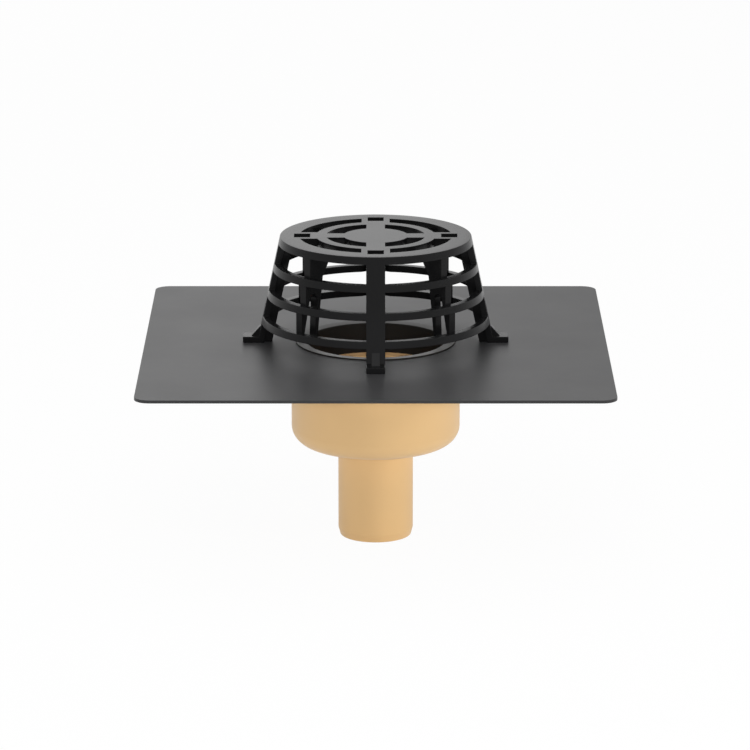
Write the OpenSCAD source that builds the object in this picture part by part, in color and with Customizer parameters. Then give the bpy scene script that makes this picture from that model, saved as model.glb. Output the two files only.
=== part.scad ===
// Flat roof drain with a factory-fitted collar sheet and a leaf guard.
// Millimetres, +Z up. The drain's axis is Z, and the origin is the centre of
// the spigot's lower end, on which the drain can stand.
// Four pieces: the moulded drain body, the square collar sheet welded to its
// flange, the inlet ring that lines its throat, and the leaf guard that rests
// loose on the collar sheet.

/* [Collar sheet] */
// Side length of the square sheet
sheet_w = 460; // [300:10:800]
// Thickness of the sheet
sheet_t = 3; // [2:0.5:6]
// Radius of the sheet's corners
sheet_corner_r = 15; // [5:1:60]
// Width of the bevel round the sheet's edges
sheet_bevel = 0.5; // [0.2:0.1:0.8]

/* [Drain body] */
// Length from the top of the collar sheet to the spigot's end
drop = 200; // [170:5:400]
// Outer diameter of the cup
cup_d = 168.4; // [164:0.2:200]
// Thickness of the cup's wall and floor
cup_wall = 8; // [5:0.5:9]
// Depth of the cup's outer floor below the top of the collar sheet
cup_depth = 104.5; // [80:0.5:130]
// Outer radius of the rounding between the cup's wall and floor
cup_corner_r = 18.5; // [12:0.5:26]
// Fall of the cup's floor towards the spigot, in degrees
floor_fall = 4; // [1:0.5:8]
// Outer diameter of the spigot
spigot_d = 75; // [60:1:100]
// Wall of the spigot
spigot_wall = 4; // [2.5:0.5:6]
// Length of the lead-in taper on the spigot's end
lead_len = 7.5; // [3:0.5:15]
// Depth of that taper on the radius
lead_depth = 2; // [0.5:0.25:2.25]
// Radius of the fillet between the cup's floor and the spigot
neck_fillet_r = 3; // [1:0.5:6]
// Radius of the rounding at the mouth of the spigot's bore
mouth_r = 6; // [2:0.5:8]
// Outer diameter of the flange under the collar sheet
flange_d = 236; // [200:1:280]
// Thickness of the flange
flange_t = 7; // [4:0.5:12]
// Radius of the fillet between the flange and the cup
flange_fillet_r = 6; // [2:0.5:12]

/* [Inlet ring] */
// Bore of the inlet ring
throat_d = 138; // [120:0.5:140]
// Wall of the ring's sleeve
sleeve_wall = 2.5; // [1.5:0.25:3.5]
// Depth of the sleeve below the top of the collar sheet
sleeve_depth = 30; // [15:1:45]
// Outer diameter of the ring's flange
rim_d = 159; // [154:0.5:164]
// Height of the rim above the collar sheet
rim_stand = 1.2; // [0.6:0.1:2]
// Depth of the funnel from the rim down to the bore
funnel_depth = 0.8; // [0.2:0.1:2]
// Clearance between the ring and what it sits in
ring_gap = 0.3; // [0.1:0.05:0.5]

/* [Leaf guard] */
// Height of the guard above the collar sheet
guard_h = 107.5; // [90:0.5:140]
// Diameter of the guard's top
guard_top_d = 190; // [180:1:220]
// Slope of the guard's side from the vertical, in degrees
guard_slope = 12.1; // [8:0.1:16]
// Thickness of the slotted top
top_t = 7.5; // [3:0.5:9]
// Height of the band round the top
top_band_h = 7.5; // [6:0.5:12]
// Height of each ring
band_h = 7.2; // [4:0.2:12]
// Spacing of the rings' top faces, from the guard's top down
band_pitch = 26.85; // [22:0.05:34]
// Number of rings
band_count = 3; // [1:1:3]
// Width of a ring's top face
ring_t = 7.5; // [5:0.5:9]
// Thickness of the top band and of the legs' outer flanges
shell_t = 6.5; // [4:0.5:8]
// Bevel along the rings' edges
band_bevel = 0.6; // [0.2:0.1:1.2]
// Number of legs
leg_count = 4; // [4:4:4]
// Width of a leg's outer flange
leg_w = 18.5; // [12:0.5:26]
// Depth of a leg from its outer face to its inner edge
leg_depth = 14.8; // [12:0.1:18]
// Thickness of the legs' webs, the gussets and the fins
rib_t = 8.5; // [4:0.5:10]
// Radius of the feet's outer ends
foot_reach = 132.3; // [124:0.1:150]
// Thickness of a foot
foot_t = 6; // [3:0.5:10]
// Height of the gusset on a foot
gusset_h = 16.5; // [10:0.5:18]
// Length of bare foot beyond the gusset
foot_toe = 8.3; // [2:0.1:16]

/* [Fins between the legs] */
// Distance of a fin's outer edge behind the band above it
fin_inset = 1.8; // [0.8:0.1:2.4]
// Radius of a fin's inner edge under the top
fin_root_r = 69.5; // [64:0.5:74]
// Length of the straight part of that edge below the top
fin_root_h = 7.5; // [4:0.5:14]
// Radius of the inner edge where the prong begins
prong_in_r = 77.2; // [76:0.1:81]
// Depth below the top at which the prong begins
prong_drop = 28; // [20:0.5:34]
// Slope of the prong's inner edge, in degrees
prong_in_slope = 7; // [4:0.1:8]
// Slope of the prong's outer edge, in degrees
prong_out_slope = 3; // [2:0.1:6]
// Height of the prong's tip above the collar sheet
prong_tip_z = 17; // [8:0.5:30]
// Height of the centre of the round head of the slot between prong and strut
slot_z = 59; // [50:0.5:66]
// Radius of that centre from the drain's axis
slot_r = 90.6; // [88:0.1:92]
// Width of the slot at its head
slot_w = 9; // [6:0.5:11]
// Slope of the slot's outer side, in degrees
slot_slope = 12.3; // [10:0.1:13]

/* [Openings in the top] */
// Radius of the solid hub
hub_r = 32.3; // [20:0.1:36]
// Outer radius of the inner slots
inner_slot_r = 49.2; // [42:0.1:54]
// Width of the bars between the inner slots
inner_bar_w = 18.6; // [10:0.1:26]
// Inner radius of the outer slots
outer_slot_in_r = 59.6; // [56:0.1:66]
// Outer radius of the outer slots
outer_slot_out_r = 75.9; // [68:0.1:78]
// Width of the bars between the outer slots
outer_bar_w = 28.2; // [24:0.1:40]
// Side of the square openings over the legs
port_w = 15.9; // [8:0.1:17]
// Radius of the centres of the square openings
port_r = 73; // [68:0.1:78]

/* [Hidden] */
$fn = 128;
over = 1;                 // how far a cutter passes a face
seal_z = drop;            // the top of the collar sheet
seat_z = seal_z - sheet_t;  // the top of the body's flange
guard_top_r = guard_top_d / 2;
sink = shell_t / 2;       // how far a web or fin is rooted in the shell
plan_r = 2 * (guard_top_r + guard_h);   // wider than the guard anywhere
cup_r = cup_d / 2;
cup_in_r = cup_r - cup_wall;
spigot_r = spigot_d / 2;
bore_r = spigot_r - spigot_wall;
throat_r = throat_d / 2;
sleeve_r = throat_r + sleeve_wall;
rim_r = rim_d / 2;
housing_r = sleeve_r + ring_gap;        // the body's throat, which holds the sleeve
sleeve_end_z = seal_z - sleeve_depth;
housing_end_z = sleeve_end_z - ring_gap;
floor_z = seal_z - cup_depth;           // the cup's outer floor at its corner
in_floor_z = floor_z + cup_wall;

// Radius of the guard's outer face at a height above the collar sheet
function shell_r(z) = guard_top_r + (guard_h - z) * tan(guard_slope);
// Height of the underside of ring k, counted from the top down
function band_z(k) = guard_h - k * band_pitch - band_h;
// Points of a circular arc in degrees
function arc(cx, cy, r, a0, a1, n = 16) =
    [for (i = [0:n]) let (a = a0 + (a1 - a0) * i / n) [cx + r * cos(a), cy + r * sin(a)]];

// ---------------------------------------------------------------- collar sheet

// Section of the sheet's edge: from radius 0 out to r, bevelled top and bottom
module edge_section(r, back = 0) {
    polygon([
        [-back, 0], [r - sheet_bevel, 0], [r, sheet_bevel],
        [r, sheet_t - sheet_bevel], [r - sheet_bevel, sheet_t], [-back, sheet_t]
    ]);
}

// One bevelled pair of opposite edges and what lies between them
module sheet_span() {
    run = sheet_w - 2 * sheet_corner_r;
    rotate([90, 0, 0])
        linear_extrude(run, center = true)
            union() {
                edge_section(sheet_w / 2);
                mirror([1, 0]) edge_section(sheet_w / 2);
            }
}

module collar_sheet() {
    place = sheet_w / 2 - sheet_corner_r;
    color("#3a3a3c")
    translate([0, 0, seat_z])
        difference() {
            union() {
                sheet_span();
                rotate(90) sheet_span();
                for (x = [-place, place], y = [-place, place])
                    translate([x, y, 0]) rotate_extrude() edge_section(sheet_corner_r);
            }
            translate([0, 0, -over]) cylinder(h = sheet_t + 2 * over, r = rim_r + ring_gap);
        }
}

// ------------------------------------------------------------------ inlet ring

module inlet_ring() {
    lip = 0.8;      // rounding where the funnel turns into the bore
    edge = 0.4;     // bevel at the rim and at the sleeve's end
    rim_z = seal_z + rim_stand;
    bore_z = rim_z - funnel_depth;
    color("#18181a")
        rotate_extrude()
            polygon(concat(
                [[sleeve_r, seat_z], [rim_r, seat_z], [rim_r, rim_z - edge], [rim_r - edge, rim_z]],
                arc(throat_r + lip, bore_z - lip, lip, 90, 180, 6),
                [[throat_r, sleeve_end_z + edge], [throat_r + edge, sleeve_end_z],
                 [sleeve_r - edge, sleeve_end_z], [sleeve_r, sleeve_end_z + edge]]
            ));
}

// ------------------------------------------------------------------ drain body

// Outside of the body, from the axis out, bottom to top
module body_outside() {
    rise = tan(floor_fall);
    // centre of the rounding between wall and floor
    corner = [cup_r - cup_corner_r, floor_z + cup_corner_r];
    // where the floor leaves that rounding, and where it meets the neck's fillet
    tangent_r = corner[0] + cup_corner_r * sin(floor_fall);
    tangent_z = corner[1] - cup_corner_r * cos(floor_fall);
    neck_r = spigot_r + neck_fillet_r;
    neck_z = tangent_z - (tangent_r - neck_r) * rise - neck_fillet_r / cos(floor_fall);
    under_z = seat_z - flange_t;
    edge = 1;       // rounding of the flange's rim, as a bevel
    polygon(concat(
        [[0, 0], [spigot_r - lead_depth, 0], [spigot_r, lead_len], [spigot_r, neck_z]],
        arc(neck_r, neck_z, neck_fillet_r, 180, 90 + floor_fall, 8),
        arc(corner[0], corner[1], cup_corner_r, -90 + floor_fall, 0, 20),
        arc(cup_r + flange_fillet_r, under_z - flange_fillet_r, flange_fillet_r, 180, 90, 10),
        [[flange_d / 2 - edge, under_z], [flange_d / 2, under_z + edge],
         [flange_d / 2, seat_z], [0, seat_z]]
    ));
}

// The waterway through the body: throat, cup and spigot bore
module body_waterway() {
    rise = tan(floor_fall);
    in_corner_r = cup_corner_r - cup_wall;
    corner = [cup_in_r - in_corner_r, in_floor_z + in_corner_r];
    tangent_r = corner[0] + in_corner_r * sin(floor_fall);
    tangent_z = corner[1] - in_corner_r * cos(floor_fall);
    // rounded mouth where the floor falls into the spigot's bore
    mouth_z = tangent_z - (tangent_r - bore_r - mouth_r) * rise - mouth_r / cos(floor_fall);
    polygon(concat(
        [[0, -over], [bore_r, -over]],
        arc(bore_r + mouth_r, mouth_z, mouth_r, 180, 90 + floor_fall, 10),
        arc(corner[0], corner[1], in_corner_r, -90 + floor_fall, 0, 14),
        [[cup_in_r, housing_end_z - (cup_in_r - housing_r)], [housing_r, housing_end_z],
         [housing_r, seat_z + over], [0, seat_z + over]]
    ));
}

module drain_body() {
    color("#dfb57c")
        rotate_extrude()
            difference() {
                body_outside();
                body_waterway();
            }
}

// ------------------------------------------------------------------ leaf guard

// Repeats a piece drawn along +X for each leg, turned by half a step for the fins
module around(half = 0) {
    for (i = [0:leg_count - 1])
        rotate((i + half) * 360 / leg_count) children();
}

// Stands an outline drawn in radius and height up along +X, rib_t thick
module upright() {
    rotate([90, 0, 0]) linear_extrude(rib_t, center = true) children();
}

// Height of the top band's underside for k = 0, or of ring k's
function band_low(k) = k == 0 ? guard_h - top_band_h : band_z(k);

// A band between two heights, conical outside and upright inside, bevelled
module band(z0, z1, width) {
    b = band_bevel;
    in_r = shell_r(z1) - width;
    rotate_extrude()
        polygon([
            [in_r, z0 + b], [in_r + b, z0],
            [shell_r(z0) - b, z0], [shell_r(z0 + b), z0 + b],
            [shell_r(z1 - b), z1 - b], [shell_r(z1) - b, z1],
            [in_r + b, z1], [in_r, z1 - b]
        ]);
}

// The top band, the rings and the legs' outer flanges
module cage() {
    band(band_low(0), guard_h, shell_t);
    for (k = [1:band_count])
        band(band_low(k), band_low(k) + band_h, ring_t);
    meet_z = band_low(0) + band_bevel;
    intersection() {
        rotate_extrude()
            polygon([
                [shell_r(0) - shell_t, 0], [shell_r(0), 0], [shell_r(meet_z), meet_z],
                [shell_r(meet_z) - sink, meet_z + sink], [shell_r(meet_z) - shell_t, meet_z]
            ]);
        around()
            translate([0, -leg_w / 2, -over])
                cube([plan_r, leg_w, guard_h]);
    }
}

// The slotted top
module guard_top() {
    top_in_r = guard_top_r - sink;
    translate([0, 0, guard_h - top_t])
        linear_extrude(top_t)
            difference() {
                circle(r = top_in_r);
                difference() {
                    circle(r = inner_slot_r);
                    circle(r = hub_r);
                    cross_bars(inner_bar_w);
                }
                difference() {
                    circle(r = outer_slot_out_r);
                    circle(r = outer_slot_in_r);
                    cross_bars(outer_bar_w);
                }
                around()
                    translate([port_r, 0]) square(port_w, center = true);
            }
}

module cross_bars(w) {
    square([plan_r, w], center = true);
    square([w, plan_r], center = true);
}

// Web behind a leg's flange, with the gusset on its foot
module leg_web() {
    top_z = guard_h - top_t / 2;
    upright()
        polygon([
            [shell_r(0) - leg_depth, 0], [foot_reach - foot_toe, 0],
            [foot_reach - foot_toe, foot_t],
            [shell_r(gusset_h), gusset_h], [shell_r(gusset_h) - sink, gusset_h],
            [shell_r(top_z) - sink, top_z], [shell_r(top_z) - leg_depth, top_z]
        ]);
}

// Foot: a plate under the leg, rounded at its outer corners
module foot() {
    r = 1.5;
    heel = shell_r(0) - shell_t;
    linear_extrude(foot_t)
        union() {
            translate([heel, -leg_w / 2]) square([foot_reach - r - heel, leg_w]);
            translate([heel, -leg_w / 2 + r]) square([foot_reach - heel, leg_w - 2 * r]);
            for (y = [-1, 1])
                translate([foot_reach - r, y * (leg_w / 2 - r)]) circle(r = r);
        }
}

// Fin between two legs: an outer strut tied to the rings, and an inner prong
module fin() {
    top_z = guard_h - top_t / 2;
    // the outer edge is upright between two bands and steps out behind each ring
    function step_z(k) = band_z(k) + band_h / 2;
    function storey_r(k) = shell_r(band_low(k)) - fin_inset;
    root_z = guard_h - fin_root_h - top_t;
    prong_z = guard_h - prong_drop;
    foot_z = band_z(band_count);
    tip_r = prong_in_r + (prong_z - prong_tip_z) * tan(prong_in_slope);
    reach = slot_z - prong_tip_z + over;
    upright()
        difference() {
            polygon([
                [fin_root_r, top_z], [fin_root_r, root_z], [prong_in_r, prong_z],
                [tip_r, prong_tip_z], [slot_r, prong_tip_z], [slot_r, foot_z],
                for (k = [band_count - 1:-1:0])
                    each [
                        [storey_r(k), k == band_count - 1 ? foot_z : step_z(k + 1)],
                        [storey_r(k), k == 0 ? top_z : step_z(k)]
                    ]
            ]);
            translate([slot_r, slot_z]) circle(d = slot_w);
            polygon([
                [slot_r - slot_w / 2, slot_z],
                [slot_r - slot_w / 2 + reach * tan(prong_out_slope), slot_z - reach],
                [slot_r + slot_w / 2 + reach * tan(slot_slope), slot_z - reach],
                [slot_r + slot_w / 2, slot_z]
            ]);
        }
}

module leaf_guard() {
    color("#1d1d1f")
    translate([0, 0, seal_z])
        union() {
            cage();
            guard_top();
            around() leg_web();
            around() foot();
            around(0.5) fin();
        }
}

leaf_guard();
collar_sheet();
inlet_ring();
drain_body();
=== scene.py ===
"""Flat roof drain: moulded body, square collar sheet, inlet ring and loose leaf guard.

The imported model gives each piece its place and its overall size. Each sub-assembly here is a class
that holds the piece's own sizes, builds its mesh with softened edges and dresses it in its finish.
All lengths are metres. The drain's axis is Z, and the spigot's lower end is at height 0.
"""

import logging
import math
from collections.abc import Iterable, Sequence
from dataclasses import dataclass
from enum import Enum

import bmesh
import bpy
from mathutils import Matrix, Vector


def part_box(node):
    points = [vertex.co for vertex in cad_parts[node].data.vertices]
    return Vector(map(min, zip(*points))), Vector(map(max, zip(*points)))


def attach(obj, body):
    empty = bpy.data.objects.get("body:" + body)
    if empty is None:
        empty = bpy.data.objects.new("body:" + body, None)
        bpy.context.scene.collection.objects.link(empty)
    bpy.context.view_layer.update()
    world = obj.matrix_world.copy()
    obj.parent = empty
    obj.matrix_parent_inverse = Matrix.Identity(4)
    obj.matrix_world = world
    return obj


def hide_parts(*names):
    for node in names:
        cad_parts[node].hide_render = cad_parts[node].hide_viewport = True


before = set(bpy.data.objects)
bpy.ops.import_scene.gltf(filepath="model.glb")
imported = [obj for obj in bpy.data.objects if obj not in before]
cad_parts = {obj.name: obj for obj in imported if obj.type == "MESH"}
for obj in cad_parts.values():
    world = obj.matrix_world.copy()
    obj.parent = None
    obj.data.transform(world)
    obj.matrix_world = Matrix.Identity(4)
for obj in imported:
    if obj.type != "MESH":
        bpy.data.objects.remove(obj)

UP = Vector((0.0, 0.0, 1.0))
WHITE = (1.0, 1.0, 1.0, 1.0)
MERGE = 2e-6  # points closer than this are one point
WIDE_GRAIN = 0.23  # scale of the coarse grain against the fine grain
LOG = logging.getLogger("roof_drain")


# --------------------------------------------------------------------------- modelling helpers


@dataclass(frozen=True)
class Corner:
    """One corner of a turned section.

    Attributes:
        r: Radius from the drain's axis.
        z: Height.
        fillet: Radius of the rounding at this corner, or 0 for a sharp one.
        steps: Segments in that rounding.
    """

    r: float
    z: float
    fillet: float = 0.0
    steps: int = 3


def arc(radius: float, start: float, stop: float, count: int) -> list[tuple[float, float]]:
    """Points along a circular arc round the axis.

    Args:
        radius: Radius of the arc.
        start: First angle, in radians.
        stop: Last angle, in radians.
        count: Number of segments.

    Returns:
        The points as (x, y), both ends included.
    """
    angles = [start + (stop - start) * i / count for i in range(count + 1)]
    return [(radius * math.cos(a), radius * math.sin(a)) for a in angles]


def closed_wire(bm: bmesh.types.BMesh,
                points: Iterable[Sequence[float]]) -> list[bmesh.types.BMVert]:
    """Adds a closed loop of edges through the points.

    Args:
        bm: Mesh that takes the loop.
        points: Corners in order, as (x, y, z).

    Returns:
        The new vertices, in the same order.
    """
    verts = [bm.verts.new(p) for p in points]
    for here, there in zip(verts, verts[1:] + verts[:1]):
        bm.edges.new((here, there))
    return verts


def round_corner(bm: bmesh.types.BMesh, vert: bmesh.types.BMVert, fillet: float,
                 steps: int) -> None:
    """Rounds one corner of a wire to a true arc.

    Args:
        bm: Mesh that holds the wire.
        vert: Corner to round.
        fillet: Radius of the arc.
        steps: Segments in the arc.
    """
    arms = [(e.other_vert(vert).co - vert.co).normalized() for e in vert.link_edges]
    turn = math.pi - arms[0].angle(arms[1])
    setback = fillet * math.tan(turn / 2.0)
    bmesh.ops.bevel(bm, geom=[vert], offset=setback, offset_type="OFFSET", segments=steps,
                    profile=0.5, affect="VERTICES", material=-1, clamp_overlap=False)


def turned(section: Sequence[Corner], steps: int) -> bmesh.types.BMesh:
    """Turns a closed section round the Z axis.

    Args:
        section: Corners of the section, in order.
        steps: Segments round the axis.

    Returns:
        A closed mesh with its faces pointing outwards.
    """
    bm = bmesh.new()
    verts = closed_wire(bm, [(c.r, 0.0, c.z) for c in section])
    for vert, corner in zip(verts, section):
        if corner.fillet > 0.0:
            round_corner(bm, vert, corner.fillet, corner.steps)
    bmesh.ops.spin(bm, geom=bm.verts[:] + bm.edges[:], cent=(0, 0, 0), axis=UP,
                   angle=math.tau, steps=steps, use_merge=True)
    bmesh.ops.remove_doubles(bm, verts=bm.verts, dist=MERGE)
    bmesh.ops.recalc_face_normals(bm, faces=bm.faces)
    return bm


def soften(bm: bmesh.types.BMesh, edges: Iterable[bmesh.types.BMEdge], width: float,
           segments: int = 2) -> None:
    """Rounds off a set of edges.

    Args:
        bm: Mesh to work on.
        edges: Edges to round.
        width: Distance from each edge to where its rounding starts.
        segments: Segments across the rounding.
    """
    bmesh.ops.bevel(bm, geom=list(edges), offset=width, offset_type="OFFSET", segments=segments,
                    profile=0.5, affect="EDGES", material=-1, clamp_overlap=False,
                    miter_outer="SHARP", loop_slide=True)


def sharp_edges(bm: bmesh.types.BMesh, over: float = 30.0) -> list[bmesh.types.BMEdge]:
    """Edges whose two faces turn by more than an angle, in degrees."""
    limit = math.radians(over)
    return [e for e in bm.edges if e.is_manifold and e.calc_face_angle(0.0) > limit]


def lies_at(edge: bmesh.types.BMEdge, height: float) -> bool:
    """Whether both ends of an edge lie at a height."""
    return all(abs(v.co.z - height) < MERGE for v in edge.verts)


def from_axis(vert: bmesh.types.BMVert) -> float:
    """Distance of a vertex from the Z axis."""
    return math.hypot(vert.co.x, vert.co.y)


def new_verts(made: dict[str, list]) -> list[bmesh.types.BMVert]:
    """The vertices that a bmesh operator has added."""
    return [g for g in made["geom"] if isinstance(g, bmesh.types.BMVert)]


def thicken(bm: bmesh.types.BMesh, offset: Sequence[float]) -> None:
    """Turns flat faces into a closed solid.

    Args:
        bm: Mesh that holds nothing but those faces.
        offset: Way from the faces to the solid's other side.
    """
    pushed = bmesh.ops.extrude_face_region(bm, geom=bm.faces[:])
    bmesh.ops.translate(bm, verts=new_verts(pushed), vec=offset)
    bmesh.ops.recalc_face_normals(bm, faces=bm.faces)


def upright_plate(outline: Sequence[tuple[float, float]], thickness: float,
                  edge: float) -> bmesh.types.BMesh:
    """Makes a plate that stands in the XZ plane, with softened edges.

    Args:
        outline: Corners as (radius, height).
        thickness: Thickness across Y.
        edge: Width of the softened edges.

    Returns:
        The closed plate, centred on Y.
    """
    bm = bmesh.new()
    bm.faces.new(closed_wire(bm, [(r, -thickness / 2.0, z) for r, z in outline]))
    thicken(bm, (0.0, thickness, 0.0))
    soften(bm, sharp_edges(bm), edge)
    return bm


def repeated(bm: bmesh.types.BMesh, count: int, first: float = 0.0) -> bmesh.types.BMesh:
    """Copies a mesh round the Z axis.

    Args:
        bm: The piece as it lies along +X.
        count: Number of copies.
        first: Angle of the first copy, in radians.

    Returns:
        The same mesh, holding every copy.
    """
    source = bm.verts[:] + bm.edges[:] + bm.faces[:]
    for index in range(1, count):
        copy = bmesh.ops.duplicate(bm, geom=source)
        bmesh.ops.rotate(bm, verts=new_verts(copy), cent=(0, 0, 0),
                         matrix=Matrix.Rotation(math.tau * index / count, 3, "Z"))
    bmesh.ops.rotate(bm, verts=bm.verts, cent=(0, 0, 0), matrix=Matrix.Rotation(first, 3, "Z"))
    return bm


def as_object(bm: bmesh.types.BMesh, name: str) -> bpy.types.Object:
    """Turns a bmesh into an object at the origin, and frees the bmesh."""
    mesh = bpy.data.meshes.new(name)
    bm.to_mesh(mesh)
    bm.free()
    piece = bpy.data.objects.new(name, mesh)
    bpy.context.scene.collection.objects.link(piece)
    return piece


def joined(base: bpy.types.Object, tools: Sequence[bpy.types.Object]) -> bpy.types.Object:
    """Fuses solids into one closed mesh and removes the tools.

    Args:
        base: Object that takes the result.
        tools: Solids to fuse to it.

    Returns:
        The base object, with the fused mesh.
    """
    for tool in tools:
        fuse = base.modifiers.new("fuse_" + tool.name, "BOOLEAN")
        fuse.operation = "UNION"
        fuse.solver = "EXACT"
        fuse.object = tool
    depsgraph = bpy.context.evaluated_depsgraph_get()
    fused = bpy.data.meshes.new_from_object(base.evaluated_get(depsgraph))
    base.modifiers.clear()
    base.data = fused
    for tool in tools:
        bpy.data.objects.remove(tool)
    bm = bmesh.new()
    bm.from_mesh(fused)
    bmesh.ops.remove_doubles(bm, verts=bm.verts, dist=MERGE)
    bmesh.ops.dissolve_degenerate(bm, edges=bm.edges, dist=MERGE)
    bm.to_mesh(fused)
    bm.free()
    return base


def smooth_by_angle(piece: bpy.types.Object, over: float = 40.0, weight: int = 80) -> None:
    """Shades a piece smooth, keeps true corners sharp and flat faces flat.

    Args:
        piece: Object to shade.
        over: Angle above which an edge stays sharp, in degrees.
        weight: How much the larger faces set the normals, up to 100.
    """
    for face in piece.data.polygons:
        face.use_smooth = True
    piece.data.set_sharp_from_angle(angle=math.radians(over))
    even = piece.modifiers.new("even_normals", "WEIGHTED_NORMAL")
    even.mode = "FACE_AREA"
    even.weight = weight
    even.keep_sharp = True


# --------------------------------------------------------------------------- shared effects


class Effect(Enum):
    """The shared shader node groups."""

    GRAIN = "moulded_grain"
    DRIFT = "tone_drift"
    STREAKS = "calender_streaks"


def new_group(effect: Effect, inputs: dict[str, float],
              outputs: Sequence[str]) -> bpy.types.NodeTree:
    """Makes an empty shader node group with named sockets.

    Args:
        effect: Which shared effect it is.
        inputs: Input names and their default values.
        outputs: Output names.

    Returns:
        The group, with its input and output nodes in place.
    """
    group = bpy.data.node_groups.new(effect.value, "ShaderNodeTree")
    for name, value in inputs.items():
        socket = group.interface.new_socket(name, in_out="INPUT", socket_type="NodeSocketFloat")
        socket.default_value = value
    for name in outputs:
        group.interface.new_socket(name, in_out="OUTPUT", socket_type="NodeSocketFloat")
    group.nodes.new("NodeGroupInput")
    group.nodes.new("NodeGroupOutput")
    return group


@dataclass
class NodeSheet:
    """Short-hand for adding and linking nodes in one tree.

    Attributes:
        tree: The node tree that is being filled.
    """

    tree: bpy.types.NodeTree

    def add(self, kind: str, **settings: object) -> bpy.types.Node:
        """Adds a node and sets its properties."""
        node = self.tree.nodes.new(kind)
        for name, value in settings.items():
            setattr(node, name, value)
        return node

    def link(self, source: bpy.types.NodeSocket, target: bpy.types.NodeSocket) -> None:
        """Links one socket to another."""
        self.tree.links.new(source, target)

    def maths(self, operation: str, first: object, second: object = 0.0) -> bpy.types.NodeSocket:
        """Adds a maths node whose operands are sockets or numbers.

        Args:
            operation: The maths node's operation.
            first: First operand.
            second: Second operand.

        Returns:
            The node's result.
        """
        node = self.add("ShaderNodeMath", operation=operation)
        for index, operand in enumerate((first, second)):
            if isinstance(operand, bpy.types.NodeSocket):
                self.link(operand, node.inputs[index])
            else:
                node.inputs[index].default_value = float(operand)
        return node.outputs[0]

    def noise(self, vector: bpy.types.NodeSocket, scale: bpy.types.NodeSocket, detail: float,
              roughness: float = 0.5) -> bpy.types.NodeSocket:
        """Adds a noise texture.

        Args:
            vector: Coordinates.
            scale: Scale.
            detail: Number of octaves.
            roughness: How much the finer octaves count.

        Returns:
            The noise, from 0 to 1.
        """
        node = self.add("ShaderNodeTexNoise")
        self.link(vector, node.inputs["Vector"])
        self.link(scale, node.inputs["Scale"])
        node.inputs["Detail"].default_value = detail
        node.inputs["Roughness"].default_value = roughness
        return node.outputs["Fac"]


def build_grain() -> bpy.types.NodeTree:
    """Fine spark-eroded grain of a moulding tool: a height from 0 to 1."""
    group = new_group(Effect.GRAIN, {"Scale": 1400.0, "Coarse": 0.35}, ["Height"])
    sheet = NodeSheet(group)
    given, put = group.nodes["Group Input"], group.nodes["Group Output"]
    where = sheet.add("ShaderNodeTexCoord").outputs["Object"]
    fine = sheet.noise(where, given.outputs["Scale"], 2.0)
    wide = sheet.noise(where, sheet.maths("MULTIPLY", given.outputs["Scale"], WIDE_GRAIN), 2.0)
    coarse = sheet.maths("MULTIPLY", wide, given.outputs["Coarse"])
    total = sheet.maths("ADD", fine, coarse)
    sheet.link(total, put.inputs["Height"])
    return group


def build_drift() -> bpy.types.NodeTree:
    """Slow change of tone over a surface, from -Amount to +Amount."""
    group = new_group(Effect.DRIFT, {"Scale": 9.0, "Amount": 0.05}, ["Change"])
    sheet = NodeSheet(group)
    given, put = group.nodes["Group Input"], group.nodes["Group Output"]
    where = sheet.add("ShaderNodeTexCoord").outputs["Object"]
    cloud = sheet.noise(where, given.outputs["Scale"], 4.0, 0.6)
    centred = sheet.maths("SUBTRACT", cloud, 0.5)
    doubled = sheet.maths("MULTIPLY", centred, 2.0)
    sheet.link(sheet.maths("MULTIPLY", doubled, given.outputs["Amount"]), put.inputs["Change"])
    return group


def build_streaks() -> bpy.types.NodeTree:
    """Faint lines that calender rolls leave along a sheet's Y direction, from 0 to 1."""
    group = new_group(Effect.STREAKS, {"Scale": 120.0, "Stretch": 60.0}, ["Height"])
    sheet = NodeSheet(group)
    given, put = group.nodes["Group Input"], group.nodes["Group Output"]
    where = sheet.add("ShaderNodeTexCoord").outputs["Object"]
    split = sheet.add("ShaderNodeSeparateXYZ")
    sheet.link(where, split.inputs[0])
    along = sheet.maths("DIVIDE", split.outputs["Y"], given.outputs["Stretch"])
    stretched = sheet.add("ShaderNodeCombineXYZ")
    sheet.link(split.outputs["X"], stretched.inputs["X"])
    sheet.link(along, stretched.inputs["Y"])
    lines = sheet.noise(stretched.outputs[0], given.outputs["Scale"], 3.0, 0.6)
    sheet.link(lines, put.inputs["Height"])
    return group


# --------------------------------------------------------------------------- finishes


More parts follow.
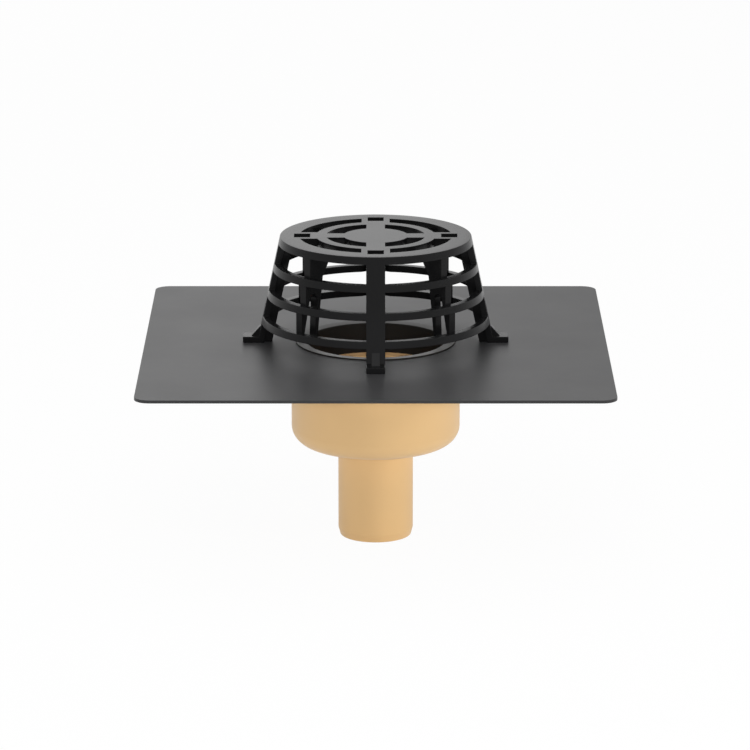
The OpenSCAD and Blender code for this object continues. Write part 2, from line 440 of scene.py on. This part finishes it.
@dataclass(frozen=True)
class Finish:
    """A surface: one Principled shader with tone drift and grain.

    Attributes:
        name: Name of the material.
        slot: Material slot of the record that this finish stands for. It is not used.
        color: Base colour, linear.
        roughness: Mean roughness.
        ior: Index of refraction.
        drift_scale: Scale of the slow change of tone.
        drift: Strength of that change on the base colour.
        rough_drift: Strength of the change on the roughness.
        grain_scale: Scale of the moulded grain.
        grain_depth: Depth of the grain, in metres.
        sheen: Weight of a velvet-like sheen.
    """

    name: str
    slot: str
    color: tuple[float, float, float]
    roughness: float
    ior: float = 1.45
    drift_scale: float = 9.0
    drift: float = 0.05
    rough_drift: float = 0.04
    grain_scale: float = 1400.0
    grain_depth: float = 0.00001
    sheen: float = 0.0

    def material(self) -> bpy.types.Material:
        """Builds the finish's material."""
        made = bpy.data.materials.new(self.name)
        made.use_nodes = True
        sheet = NodeSheet(made.node_tree)
        shader = made.node_tree.nodes["Principled BSDF"]
        shader.inputs["IOR"].default_value = self.ior
        shader.inputs["Sheen Weight"].default_value = self.sheen
        drift = self._effect(sheet, Effect.DRIFT, Scale=self.drift_scale, Amount=1.0)
        tone = sheet.maths("ADD", sheet.maths("MULTIPLY", drift, self.drift), 1.0)
        scaled = sheet.add("ShaderNodeVectorMath", operation="SCALE")
        scaled.inputs[0].default_value = self.color
        sheet.link(tone, scaled.inputs["Scale"])
        sheet.link(scaled.outputs[0], shader.inputs["Base Color"])
        rough = sheet.maths("ADD", sheet.maths("MULTIPLY", drift, self.rough_drift), self.roughness)
        sheet.link(rough, shader.inputs["Roughness"])
        bump = sheet.add("ShaderNodeBump")
        bump.inputs["Strength"].default_value = 1.0
        bump.inputs["Distance"].default_value = self.grain_depth
        sheet.link(self._relief(sheet), bump.inputs["Height"])
        sheet.link(bump.outputs["Normal"], shader.inputs["Normal"])
        return made

    def _effect(self, sheet: NodeSheet, effect: Effect, **values: float) -> bpy.types.NodeSocket:
        """Places a shared effect with this finish's own values, and returns its output."""
        node = sheet.add("ShaderNodeGroup", node_tree=bpy.data.node_groups[effect.value])
        for name, value in values.items():
            node.inputs[name].default_value = value
        return node.outputs[0]

    def _relief(self, sheet: NodeSheet) -> bpy.types.NodeSocket:
        """Height of the surface's grain."""
        return self._effect(sheet, Effect.GRAIN, Scale=self.grain_scale)


@dataclass(frozen=True)
class MembraneFinish(Finish):
    """A roofing membrane: grain with faint streaks from its calender rolls.

    Attributes:
        streak_scale: Scale of the streaks across the sheet.
        streak_share: Height of the streaks against the grain.
    """

    streak_scale: float = 120.0
    streak_share: float = 1.5

    def _relief(self, sheet: NodeSheet) -> bpy.types.NodeSocket:
        """Height of the grain and the streaks together."""
        grain = self._effect(sheet, Effect.GRAIN, Scale=self.grain_scale)
        lines = self._effect(sheet, Effect.STREAKS, Scale=self.streak_scale)
        return sheet.maths("ADD", grain, sheet.maths("MULTIPLY", lines, self.streak_share))


GUARD_PLASTIC = Finish("guard_black_plastic", "guard_plastic", (0.006, 0.006, 0.0063), 0.26,
                       ior=1.22, grain_scale=1500.0, grain_depth=0.000006)
RING_PLASTIC = Finish("ring_black_plastic", "ring_plastic", (0.015, 0.0135, 0.012), 0.30,
                      ior=1.235, rough_drift=0.02, grain_scale=900.0, grain_depth=0.000002)
MEMBRANE = MembraneFinish("collar_membrane", "membrane", (0.030, 0.030, 0.031), 0.42,
                          ior=1.31, drift_scale=14.0, grain_scale=1100.0, grain_depth=0.000008)
FOAM_SKIN = Finish("body_foam_skin", "foam_body", (0.74, 0.488, 0.229), 0.55,
                   ior=1.45, drift_scale=16.0, drift=0.02, grain_scale=700.0, grain_depth=0.00002,
                   sheen=0.25)


# --------------------------------------------------------------------------- sub-assemblies


@dataclass
class Piece:
    """What every sub-assembly shares.

    Attributes:
        node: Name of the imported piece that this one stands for.
        finish: Its surface.
    """

    node: str
    finish: Finish

    def build(self) -> bpy.types.Object:
        """Builds the piece, dresses it, sets it in the frame and returns it."""
        piece = self.shape()
        piece.name = self.node + "_finished"
        piece.data.name = piece.name
        smooth_by_angle(piece)
        piece.data.materials.clear()
        piece.data.materials.append(self.finish.material())
        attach(piece, "root")
        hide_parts(self.node)
        return piece

    def shape(self) -> bpy.types.Object:
        """Makes the mesh. Each sub-assembly has its own."""
        raise NotImplementedError

    def span(self) -> tuple[float, float]:
        """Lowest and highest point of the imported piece."""
        low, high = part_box(self.node)
        return low.z, high.z


@dataclass
class DrainBody(Piece):
    """The moulded body: cup, spigot and the flange under the collar sheet.

    Attributes:
        steps: Segments round the axis.
        cup_r: Outer radius of the cup.
        cup_wall: Thickness of the cup's wall and floor.
        cup_floor_z: Lowest height of the circle that rounds the cup's bottom edge.
        cup_fillet: Radius of that circle.
        floor_fall: Slope of the floor from the cup's wall down to the spigot.
        spigot_r: Outer radius of the spigot.
        bore_r: Radius of the spigot's bore.
        lead_depth: Depth of the taper at the spigot's end.
        lead_length: Length of that taper.
        lead_fillet: Rounding at the upper end of the taper.
        spigot_fillet: Rounding between the spigot and the floor.
        neck_fillet: Rounding between the cup's wall and the flange.
        bore_fillet: Rounding of the floor's edge round the bore.
        throat_r: Radius of the throat, which takes the ring's sleeve.
        throat_end: Depth of the throat's lower end below the collar sheet's top.
        flange_thickness: Thickness of the flange.
        sheet_thickness: Thickness of the collar sheet on the flange.
        edge: Rounding of the other corners.
    """

    steps: int = 256
    cup_r: float = 0.0842
    cup_wall: float = 0.008
    cup_floor_z: float = 0.0955
    cup_fillet: float = 0.0185
    floor_fall: float = math.radians(4.0)
    spigot_r: float = 0.0375
    bore_r: float = 0.0335
    lead_depth: float = 0.002
    lead_length: float = 0.0075
    lead_fillet: float = 0.004
    spigot_fillet: float = 0.003
    neck_fillet: float = 0.006
    bore_fillet: float = 0.006
    throat_r: float = 0.0713
    throat_end: float = 0.0303
    flange_thickness: float = 0.007
    sheet_thickness: float = 0.003
    edge: float = 0.0008

    def shape(self) -> bpy.types.Object:
        """Turns the body's whole section in one piece."""
        low, top = self.span()
        flange_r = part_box(self.node)[1].x
        rise = math.tan(self.floor_fall)
        corner_r = self.cup_r - self.cup_fillet
        tangent_r = corner_r + self.cup_fillet * math.sin(self.floor_fall)
        tangent_z = self.cup_floor_z + self.cup_fillet * (1.0 - math.cos(self.floor_fall))

        def outer_floor(r: float) -> float:
            """Height of the floor's underside at a radius."""
            return tangent_z + (r - tangent_r) * rise

        def inner_floor(r: float) -> float:
            """Height of the floor's upper side at a radius."""
            return outer_floor(r) + self.cup_wall / math.cos(self.floor_fall)

        inside_r = self.cup_r - self.cup_wall
        throat_low = top + self.sheet_thickness - self.throat_end
        under = top - self.flange_thickness
        section = [
            Corner(self.bore_r, low, self.edge),
            Corner(self.spigot_r - self.lead_depth, low, self.edge),
            Corner(self.spigot_r, low + self.lead_length, self.lead_fillet, steps=4),
            Corner(self.spigot_r, outer_floor(self.spigot_r), self.spigot_fillet, steps=8),
            Corner(self.cup_r, outer_floor(self.cup_r), self.cup_fillet, steps=24),
            Corner(self.cup_r, under, self.neck_fillet, steps=8),
            Corner(flange_r, under, self.edge),
            Corner(flange_r, top, self.edge),
            Corner(self.throat_r, top, self.edge / 2),
            Corner(self.throat_r, throat_low, self.edge),
            Corner(inside_r, throat_low - (inside_r - self.throat_r), self.edge),
            Corner(inside_r, inner_floor(inside_r), self.cup_fillet - self.cup_wall, steps=14),
            Corner(self.bore_r, inner_floor(self.bore_r), self.bore_fillet, steps=10),
        ]
        return as_object(turned(section, self.steps), self.node)


@dataclass
class InletRing(Piece):
    """The ring that lines the throat: a funnel-shaped flange on a straight sleeve.

    Attributes:
        steps: Segments round the axis.
        throat_r: Inner radius of the sleeve.
        sleeve_wall: Thickness of the sleeve.
        funnel_depth: Fall of the flange's upper side from its rim to the throat.
        seat_drop: Depth of the flange's underside below its rim.
        lip: Rounding between the flange's upper side and the sleeve.
        edge: Rounding of the other corners.
    """

    steps: int = 256
    throat_r: float = 0.069
    sleeve_wall: float = 0.0025
    funnel_depth: float = 0.0008
    seat_drop: float = 0.0042
    lip: float = 0.0008
    edge: float = 0.0004

    def shape(self) -> bpy.types.Object:
        """Turns the ring's section."""
        low, top = self.span()
        rim_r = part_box(self.node)[1].x
        seat = top - self.seat_drop
        sleeve_r = self.throat_r + self.sleeve_wall
        section = [
            Corner(sleeve_r, seat, self.edge),
            Corner(rim_r, seat, self.edge),
            Corner(rim_r, top, self.edge),
            Corner(self.throat_r, top - self.funnel_depth, self.lip, steps=6),
            Corner(self.throat_r, low, self.edge),
            Corner(sleeve_r, low, self.edge),
        ]
        return as_object(turned(section, self.steps), self.node)


@dataclass
class CollarSheet(Piece):
    """The square collar sheet with its round hole.

    Attributes:
        steps: Segments round the hole.
        corner_r: Radius of the sheet's corners.
        corner_steps: Segments in each corner.
        hole_r: Radius of the hole.
        edge: Width of the softened edges.
        edge_steps: Segments across them.
    """

    steps: int = 192
    corner_r: float = 0.015
    corner_steps: int = 12
    hole_r: float = 0.0798
    edge: float = 0.0003
    edge_steps: int = 3

    def shape(self) -> bpy.types.Object:
        """Fills the outline, gives it its thickness and softens its edges."""
        low, top = self.span()
        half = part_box(self.node)[1].x
        bm = bmesh.new()
        square = [(half, half, low), (-half, half, low), (-half, -half, low), (half, -half, low)]
        for vert in closed_wire(bm, square):
            round_corner(bm, vert, self.corner_r, self.corner_steps)
        bmesh.ops.create_circle(bm, cap_ends=False, segments=self.steps, radius=self.hole_r,
                                matrix=Matrix.Translation((0.0, 0.0, low)))
        bmesh.ops.triangle_fill(bm, use_beauty=True, use_dissolve=False, edges=bm.edges[:],
                                normal=UP)
        thicken(bm, (0.0, 0.0, top - low))
        soften(bm, sharp_edges(bm), self.edge, self.edge_steps)
        return as_object(bm, self.node)


@dataclass(frozen=True)
class SlotRow:
    """A row of curved slots in the guard's top, one between each two legs.

    Attributes:
        inner: Radius of the row's inner edge.
        outer: Radius of its outer edge.
        bar: Width of the bars between two slots.
        inner_steps: Segments along the inner edge of a slot.
        outer_steps: Segments along its outer edge.
    """

    inner: float
    outer: float
    bar: float
    inner_steps: int = 12
    outer_steps: int = 20


@dataclass(frozen=True)
class FinShape:
    """Side view of a fin, whose lower half is split by a tapering slot with a round head.

    Attributes:
        root_r: Radius of the inner edge under the top.
        root_height: Height of that upright stretch.
        prong_r: Radius at which the prong's inner edge begins.
        prong_drop: Depth of that point below the top.
        prong_in: Slope of the prong's inner edge.
        prong_out: Slope of the prong's outer edge.
        tip_z: Height of the prong's tip above the sheet.
        slot_r: Radius of the centre of the slot's head.
        slot_z: Height of that centre above the sheet.
        slot_width: Width of the slot at its head.
        slot_slope: Slope of the slot's outer side.
        head_steps: Segments in the slot's head.
        inset: How far the outer edge lies inside the rings' faces.
    """

    root_r: float = 0.0695
    root_height: float = 0.0075
    prong_r: float = 0.0772
    prong_drop: float = 0.028
    prong_in: float = math.radians(7.0)
    prong_out: float = math.radians(3.0)
    tip_z: float = 0.017
    slot_r: float = 0.0906
    slot_z: float = 0.059
    slot_width: float = 0.009
    slot_slope: float = math.radians(12.3)
    head_steps: int = 14
    inset: float = 0.0018


@dataclass
class LeafGuard(Piece):
    """The leaf guard: slotted top, three rings, four legs with feet, and four slotted fins.

    Attributes:
        columns: Grid columns round the cage.
        blend: Columns over which a ring's inner face passes into a leg's.
        legs: Number of legs, and of fins between them.
        top_r: Outer radius at the top.
        slope: Angle of the outer face from upright.
        top_thickness: Thickness of the slotted top.
        band_height: Height of the band under the top's edge.
        ring_height: Height of each ring.
        ring_pitch: Height from one ring to the next.
        ring_width: Width of each ring at its top.
        rings: Number of rings below the band.
        wall: Thickness of the band and of the legs' flanges.
        leg_width: Width of the legs' flanges.
        leg_depth: Depth of the legs, from the outer face to the web's inner edge.
        rib: Thickness of the webs and fins.
        foot_reach: Radius of the feet's outer ends.
        foot_thickness: Thickness of the feet.
        foot_corner: Rounding of the feet's outer corners.
        foot_corner_steps: Segments in that rounding.
        gusset_height: Height at which the gusset meets the leg.
        toe: Length of the foot beyond the gusset.
        fin: Side view of the fins.
        slot_rows: The rows of curved slots, from the middle outwards.
        port_r: Radius of the centres of the square openings over the legs.
        port_width: Width of those openings.
        edge: Width of the softened edges.
        slot_edge: Width of the softened edges round the openings in the top.
        slot_turn: Least turn between the faces at those edges, in degrees.
        low: Height of the feet's undersides, taken from the frame.
        height: Height of the guard, taken from the frame.
    """

    columns: int = 240
    blend: int = 2
    legs: int = 4
    top_r: float = 0.095
    slope: float = math.radians(12.1)
    top_thickness: float = 0.0075
    band_height: float = 0.0075
    ring_height: float = 0.0072
    ring_pitch: float = 0.02685
    ring_width: float = 0.0075
    rings: int = 3
    wall: float = 0.0065
    leg_width: float = 0.0185
    leg_depth: float = 0.0148
    rib: float = 0.0085
    foot_reach: float = 0.1323
    foot_thickness: float = 0.006
    foot_corner: float = 0.0015
    foot_corner_steps: int = 4
    gusset_height: float = 0.0165
    toe: float = 0.0083
    fin: FinShape = FinShape()
    slot_rows: tuple[SlotRow, ...] = (SlotRow(0.0323, 0.0492, 0.0186),
                                      SlotRow(0.0596, 0.0759, 0.0282))
    port_r: float = 0.073
    port_width: float = 0.0159
    edge: float = 0.0006
    slot_edge: float = 0.0002
    slot_turn: float = 60.0
    low: float = 0.0
    height: float = 0.1075

    def shape(self) -> bpy.types.Object:
        """Builds the cage with its slotted top and fuses feet, webs and fins to it."""
        self.low, high = self.span()
        self.height = high - self.low
        cage = as_object(self._cage(), self.node)
        tools = [
            as_object(repeated(self._foot(), self.legs), "feet"),
            as_object(repeated(self._web(), self.legs), "webs"),
            as_object(repeated(self._fin(), self.legs, math.pi / self.legs), "fins"),
        ]
        return joined(cage, tools)

    def _face_r(self, z: float) -> float:
        """Radius of the guard's outer face at a height above its feet."""
        return self.top_r + (self.height - z) * math.tan(self.slope)

    def _ring_low(self, index: int) -> float:
        """Height of the underside of a ring, or of the top band for index 0."""
        if index == 0:
            return self.height - self.band_height
        return self.height - index * self.ring_pitch - self.ring_height

    def _inner_r(self, point: Vector) -> float:
        """Radius of the cage's inner face: upright behind each band, sloping on the legs."""
        if point.z > self._ring_low(0) - MERGE:
            return self._face_r(self.height) - self.wall
        index = int((self.height - point.z + MERGE) / self.ring_pitch)
        ring_r = self._face_r(self.height - index * self.ring_pitch) - self.ring_width
        off_leg = abs(self._leg_angle(point.x, point.y)[1]) - self._flank()
        share = min(max(off_leg / (math.tau / self.columns * self.blend), 0.0), 1.0)
        return share * ring_r + (1.0 - share) * (self._face_r(point.z) - self.wall)

    def _levels(self) -> list[float]:
        """Heights at which the cage's wall changes, from the feet up."""
        heights = [0.0]
        for index in range(self.rings, 0, -1):
            heights += [self._ring_low(index), self._ring_low(index) + self.ring_height]
        return heights + [self.height - self.band_height, self.height]

    def _cage(self) -> bmesh.types.BMesh:
        """The conical wall with its windows, and the slotted top inside its rim."""
        bm = bmesh.new()
        levels = self._levels()
        line = [bm.verts.new((self._face_r(z), 0.0, z)) for z in levels]
        for here, there in zip(line, line[1:]):
            bm.edges.new((here, there))
        bmesh.ops.spin(bm, geom=bm.verts[:] + bm.edges[:], cent=(0, 0, 0), axis=UP,
                       angle=math.tau, steps=self.columns, use_merge=True)
        bmesh.ops.remove_doubles(bm, verts=bm.verts, dist=MERGE)
        windows = [f for f in bm.faces if self._is_window(f.calc_center_median(), levels)]
        bmesh.ops.delete(bm, geom=windows, context="FACES")
        pushed = bmesh.ops.extrude_face_region(bm, geom=bm.faces[:])
        for vert in new_verts(pushed):
            inward = self._inner_r(vert.co) / from_axis(vert)
            vert.co.x *= inward
            vert.co.y *= inward
        for vert in bm.verts:
            self._square_to_leg(vert)
        self._fill_top(bm)
        bmesh.ops.recalc_face_normals(bm, faces=bm.faces)
        soften(bm, [e for e in sharp_edges(bm) if self._is_cage_edge(e)], self.edge)
        openings = [e for e in sharp_edges(bm, self.slot_turn) if self._is_slot_edge(e)]
        soften(bm, openings, self.slot_edge)
        bmesh.ops.translate(bm, verts=bm.verts, vec=(0.0, 0.0, self.low))
        return bm

    def _leg_angle(self, x: float, y: float) -> tuple[float, float]:
        """Angle of the nearest leg, and the point's angle from it, in radians."""
        step = math.tau / self.legs
        angle = math.atan2(y, x)
        leg = round(angle / step) * step
        return leg, angle - leg

    def _flank(self) -> float:
        """Angle of the grid column that becomes a leg's flank."""
        column = math.tau / self.columns
        return column * round(math.asin(self.leg_width / 2 / self._face_r(0.0)) / column)

    def _is_window(self, centre: Vector, levels: Sequence[float]) -> bool:
        """Whether a face of the wall lies in a window."""
        off = self._leg_angle(centre.x, centre.y)[1]
        row = sum(1 for z in levels if centre.z > z)
        return abs(off) > self._flank() and row % 2 == 1

    def _square_to_leg(self, vert: bmesh.types.BMVert) -> None:
        """Turns a vertex about the axis so that the legs' flanks become parallel planes."""
        r = from_axis(vert)
        leg, off = self._leg_angle(vert.co.x, vert.co.y)
        flank, wanted = self._flank(), math.asin(self.leg_width / 2 / r)
        half = math.pi / self.legs
        if abs(off) <= flank:
            moved = off * wanted / flank
        else:
            share = (abs(off) - flank) / (half - flank)
            moved = math.copysign(wanted + share * (half - wanted), off)
        vert.co.x = r * math.cos(leg + moved)
        vert.co.y = r * math.sin(leg + moved)

    def _slots(self) -> list[list[tuple[float, float]]]:
        """Outlines of the openings in the top that belong to the first leg, as (x, y)."""
        outlines = []
        step = math.tau / self.legs
        for row in self.slot_rows:
            far, near = math.asin(row.bar / 2 / row.outer), math.asin(row.bar / 2 / row.inner)
            outlines.append(arc(row.outer, far, step - far, row.outer_steps)
                            + arc(row.inner, step - near, near, row.inner_steps))
        half = self.port_width / 2
        inner, outer = self.port_r - half, self.port_r + half
        outlines.append([(inner, -half), (outer, -half), (outer, half), (inner, half)])
        return outlines

    def _fill_top(self, bm: bmesh.types.BMesh) -> None:
        """Opens the inner wall at the top and fills in the slotted plate."""
        under = self.height - self.top_thickness
        reach = self._face_r(self.height) - self.wall + 2 * self.edge
        wall = [f for f in bm.faces if f.calc_center_median().z > under
                and all(from_axis(v) < reach for v in f.verts)]
        bmesh.ops.delete(bm, geom=wall, context="FACES_ONLY")
        rims = [e for e in bm.edges if e.is_boundary]
        wires = []
        for outline in self._slots():
            for turn in range(self.legs):
                spin = Matrix.Rotation(math.tau / self.legs * turn, 3, "Z")
                points = [spin @ Vector((x, y, self.height)) for x, y in outline]
                wires += [e for v in closed_wire(bm, points) for e in v.link_edges]
        wires = list(dict.fromkeys(wires))
        dropped = bmesh.ops.extrude_edge_only(bm, edges=wires)
        bmesh.ops.translate(bm, verts=new_verts(dropped), vec=(0.0, 0.0, -self.top_thickness))
        known = set(wires) | set(rims)
        low_wires = [e for e in bm.edges if e.is_boundary and e not in known
                     and lies_at(e, under)]
        for loops, height in ((wires, self.height), (low_wires, under)):
            border = [e for e in rims if lies_at(e, height)]
            bmesh.ops.triangle_fill(bm, use_beauty=True, use_dissolve=False,
                                    edges=border + loops, normal=UP)

    def _is_cage_edge(self, edge: bmesh.types.BMEdge) -> bool:
        """Whether an edge belongs to the rings, the legs' flanges or the rim."""
        inner = self.top_r - self.wall - 10 * MERGE
        return min(from_axis(v) for v in edge.verts) > inner

    def _is_slot_edge(self, edge: bmesh.types.BMEdge) -> bool:
        """Whether an edge borders an opening in the top."""
        reach = self.port_r + self.port_width / 2 + self.edge
        flat = lies_at(edge, edge.verts[0].co.z)
        return flat and max(from_axis(v) for v in edge.verts) < reach

    def _web(self) -> bmesh.types.BMesh:
        """Web behind a leg's flange, with the gusset on its foot."""
        top = self.height - self.top_thickness / 2
        sink = self.wall / 2  # depth to which the web reaches into the flange
        toe = self.foot_reach - self.toe
        outline = [
            (self._face_r(0.0) - self.leg_depth, 0.0), (toe, 0.0), (toe, self.foot_thickness),
            (self._face_r(self.gusset_height), self.gusset_height),
            (self._face_r(self.gusset_height) - sink, self.gusset_height),
            (self._face_r(top) - sink, top), (self._face_r(top) - self.leg_depth, top),
        ]
        lifted = [(r, z + self.low) for r, z in outline]
        return upright_plate(lifted, self.rib, self.edge)

    def _foot(self) -> bmesh.types.BMesh:
        """Foot plate under a leg."""
        half = self.leg_width / 2
        heel = self._face_r(0.0) - self.wall
        bm = bmesh.new()
        corners = [(heel, -half), (self.foot_reach, -half), (self.foot_reach, half), (heel, half)]
        verts = closed_wire(bm, [(x, y, self.low) for x, y in corners])
        for vert in verts[1:3]:
            round_corner(bm, vert, self.foot_corner, self.foot_corner_steps)
        bmesh.ops.triangle_fill(bm, use_beauty=True, use_dissolve=True, edges=bm.edges[:],
                                normal=UP)
        thicken(bm, (0.0, 0.0, self.foot_thickness))
        flat = [e for e in sharp_edges(bm) if lies_at(e, e.verts[0].co.z)
                and max(v.co.x for v in e.verts) > heel + MERGE]
        soften(bm, flat, self.edge)
        return bm

    def _fin(self) -> bmesh.types.BMesh:
        """Fin between two legs: an outer strut tied to the rings, and an inner prong."""
        fin = self.fin
        top = self.height - self.top_thickness / 2
        root_z = self.height - self.top_thickness - fin.root_height
        prong_z = self.height - fin.prong_drop
        foot_z = self._ring_low(self.rings)
        half = fin.slot_width / 2

        # the outer edge is upright between two bands and steps out behind each ring
        outer = []
        for index in range(self.rings - 1, -1, -1):
            r = self._face_r(self._ring_low(index)) - fin.inset
            below, above = self._ring_low(index + 1), self._ring_low(index)
            outer.append((r, below + self.ring_height / 2 if outer else foot_z))
            outer.append((r, above + self.ring_height / 2 if index else top))
        tip_r = fin.prong_r + (prong_z - fin.tip_z) * math.tan(fin.prong_in)
        prong_foot = fin.slot_r - half + (fin.slot_z - fin.tip_z) * math.tan(fin.prong_out)
        strut_foot = fin.slot_r + half + (fin.slot_z - foot_z) * math.tan(fin.slot_slope)
        head = [(fin.slot_r + x, fin.slot_z + z)
                for x, z in arc(half, math.pi, 0.0, fin.head_steps)]
        outline = [
            (fin.root_r, top), (fin.root_r, root_z), (fin.prong_r, prong_z),
            (tip_r, fin.tip_z), (prong_foot, fin.tip_z), *head, (strut_foot, foot_z), *outer,
        ]
        lifted = [(r, z + self.low) for r, z in outline]
        return upright_plate(lifted, self.rib, self.edge)


# --------------------------------------------------------------------------- studio


@dataclass(frozen=True)
class Softbox:
    """A square soft lamp that is turned to the middle of the drain.

    Attributes:
        name: Name of the lamp.
        place: Where it stands.
        size: Length of its sides.
        power: Power, in watts.
        mirrored: Whether shiny surfaces reflect it.
    """

    name: str
    place: tuple[float, float, float]
    size: float
    power: float
    mirrored: bool = False


SOFTBOXES = (
    Softbox("overhead_softbox", (0.0, -0.3, 2.4), 2.5, 18.0, mirrored=True),
    Softbox("high_front_softbox", (0.0, -1.9, 2.0), 1.0, 12.0),
    Softbox("front_softbox", (0.0, -3.4, 1.06), 0.2, 33.0),
    Softbox("right_softbox", (2.5, -0.7, 0.5), 0.9, 28.0),
    Softbox("left_softbox", (-2.6, 0.0, 0.5), 0.9, 12.0),
    Softbox("rear_softbox", (-0.8, 3.0, 1.1), 2.0, 5.5, mirrored=True),
)


@dataclass
class Studio:
    """Pale floor, soft lights, white surroundings and the camera.

    Attributes:
        floor_half: Half the floor's width.
        floor_shade: The floor's lightness, from 0 to 1.
        floor_roughness: Roughness of the floor.
        floor_glow: Share of plain white in the floor as the camera and reflections see it.
        ambient: Strength of the surroundings' light on the drain.
        lens: Focal length, in millimetres.
        elevation: Angle of the camera above the horizon.
        distance: Distance from the camera to the point it looks at.
        aim: That point.
        sensor: Width of the camera's sensor, in millimetres.
        view_depth: How far the camera sees.
        spot_place: Where the narrow spot stands.
        spot_aim: Point of the cup's far wall that it is turned to.
        spot_power: Its power, in watts.
        spot_angle: Full angle of its cone.
        spot_blend: Share of the cone over which it fades out.
        spot_radius: Radius of its source.
    """

    floor_half: float = 30.0
    floor_shade: float = 0.9
    floor_roughness: float = 0.9
    floor_glow: float = 0.96
    ambient: float = 0.42
    lens: float = 212.66
    elevation: float = math.radians(14.803)
    distance: float = 4.4309
    aim: tuple[float, float, float] = (-0.00066, 0.0, 0.1643)
    sensor: float = 36.0
    view_depth: float = 200.0
    spot_place: tuple[float, float, float] = (0.0, -3.4, 1.066)
    spot_aim: tuple[float, float, float] = (0.0, 0.076, 0.163)
    spot_power: float = 150.0
    spot_angle: float = 0.026
    spot_blend: float = 0.3
    spot_radius: float = 0.02

    def build(self) -> None:
        """Sets up everything round the drain."""
        self._world()
        self._floor()
        self._lamps()
        self._throat_spot()
        self._camera()

    def _seen(self, sheet: NodeSheet) -> bpy.types.NodeSocket:
        """A mask that is 1 for what the camera sees, straight, mirrored or through glass."""
        path = sheet.add("ShaderNodeLightPath")
        seen = sheet.maths("MAXIMUM", path.outputs["Is Camera Ray"], path.outputs["Is Glossy Ray"])
        return sheet.maths("MAXIMUM", seen, path.outputs["Is Transmission Ray"])

    def _world(self) -> None:
        """White surroundings, which light the drain at a lower level than they look."""
        world = bpy.data.worlds.new("surroundings")
        world.use_nodes = True
        bpy.context.scene.world = world
        sheet = NodeSheet(world.node_tree)
        back = world.node_tree.nodes["Background"]
        back.inputs["Color"].default_value = WHITE
        spare = sheet.maths("MULTIPLY", self._seen(sheet), 1.0 - self.ambient)
        sheet.link(sheet.maths("ADD", spare, self.ambient), back.inputs["Strength"])

    def _floor(self) -> None:
        """A pale floor that looks white and keeps a faint shadow."""
        bm = bmesh.new()
        bmesh.ops.create_grid(bm, x_segments=1, y_segments=1, size=self.floor_half)
        floor = as_object(bm, "floor")
        made = bpy.data.materials.new("pale_floor")
        made.use_nodes = True
        sheet = NodeSheet(made.node_tree)
        shader = made.node_tree.nodes["Principled BSDF"]
        shader.inputs["Base Color"].default_value = (*[self.floor_shade] * 3, 1.0)
        shader.inputs["Roughness"].default_value = self.floor_roughness
        shader.inputs["Specular IOR Level"].default_value = 0.0
        glow = sheet.add("ShaderNodeEmission")
        glow.inputs["Color"].default_value = WHITE
        mix = sheet.add("ShaderNodeMixShader")
        sheet.link(sheet.maths("MULTIPLY", self._seen(sheet), self.floor_glow), mix.inputs[0])
        sheet.link(shader.outputs[0], mix.inputs[1])
        sheet.link(glow.outputs[0], mix.inputs[2])
        sheet.link(mix.outputs[0], made.node_tree.nodes["Material Output"].inputs["Surface"])
        floor.data.materials.append(made)

    def _lamps(self) -> None:
        """Soft lamps: a large one overhead, a weak one behind, and fills at the front and sides."""
        for box in SOFTBOXES:
            light = bpy.data.lights.new(box.name, "AREA")
            light.shape = "SQUARE"
            light.size = box.size
            light.energy = box.power
            self._hang(light, box.place, self.aim, box.mirrored)

    def _throat_spot(self) -> None:
        """A narrow spot from the front that reaches through the throat to the cup's far wall."""
        light = bpy.data.lights.new("throat_spot", "SPOT")
        light.energy = self.spot_power
        light.spot_size = self.spot_angle
        light.spot_blend = self.spot_blend
        light.shadow_soft_size = self.spot_radius
        self._hang(light, self.spot_place, self.spot_aim, False)

    def _hang(self, light: bpy.types.Light, place: Sequence[float], aim: Sequence[float],
              mirrored: bool) -> None:
        """Puts a lamp in its place and turns it to a point.

        Args:
            light: The lamp's light.
            place: Where it stands.
            aim: Point it is turned to.
            mirrored: Whether shiny surfaces reflect it.
        """
        lamp = bpy.data.objects.new(light.name, light)
        lamp.visible_glossy = mirrored
        lamp.location = place
        lamp.rotation_euler = (Vector(aim) - lamp.location).to_track_quat("-Z", "Y").to_euler()
        bpy.context.scene.collection.objects.link(lamp)

    def _camera(self) -> None:
        """A long lens looking down a little at the middle of the drain."""
        data = bpy.data.cameras.new("camera")
        data.lens = self.lens
        data.sensor_width = self.sensor
        data.clip_end = self.view_depth
        camera = bpy.data.objects.new("camera", data)
        aim = Vector(self.aim)
        back = Vector((0.0, -math.cos(self.elevation), math.sin(self.elevation)))
        camera.location = aim + back * self.distance
        camera.rotation_euler = (-back).to_track_quat("-Z", "Y").to_euler()
        bpy.context.scene.collection.objects.link(camera)
        bpy.context.scene.camera = camera


def main() -> None:
    """Builds the drain and its studio."""
    logging.basicConfig(level=logging.INFO, format="%(name)s: %(message)s")
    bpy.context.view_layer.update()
    bpy.context.scene.view_settings.view_transform = "Standard"
    for make in (build_grain, build_drift, build_streaks):
        make()
    pieces: list[Piece] = [
        DrainBody("drain_body", FOAM_SKIN),
        InletRing("inlet_ring", RING_PLASTIC),
        CollarSheet("collar_sheet", MEMBRANE),
        LeafGuard("leaf_guard", GUARD_PLASTIC),
    ]
    for piece in pieces:
        made = piece.build()
        LOG.info("%s: %d faces", made.name, len(made.data.polygons))
    Studio().build()


if __name__ == "__main__":
    main()
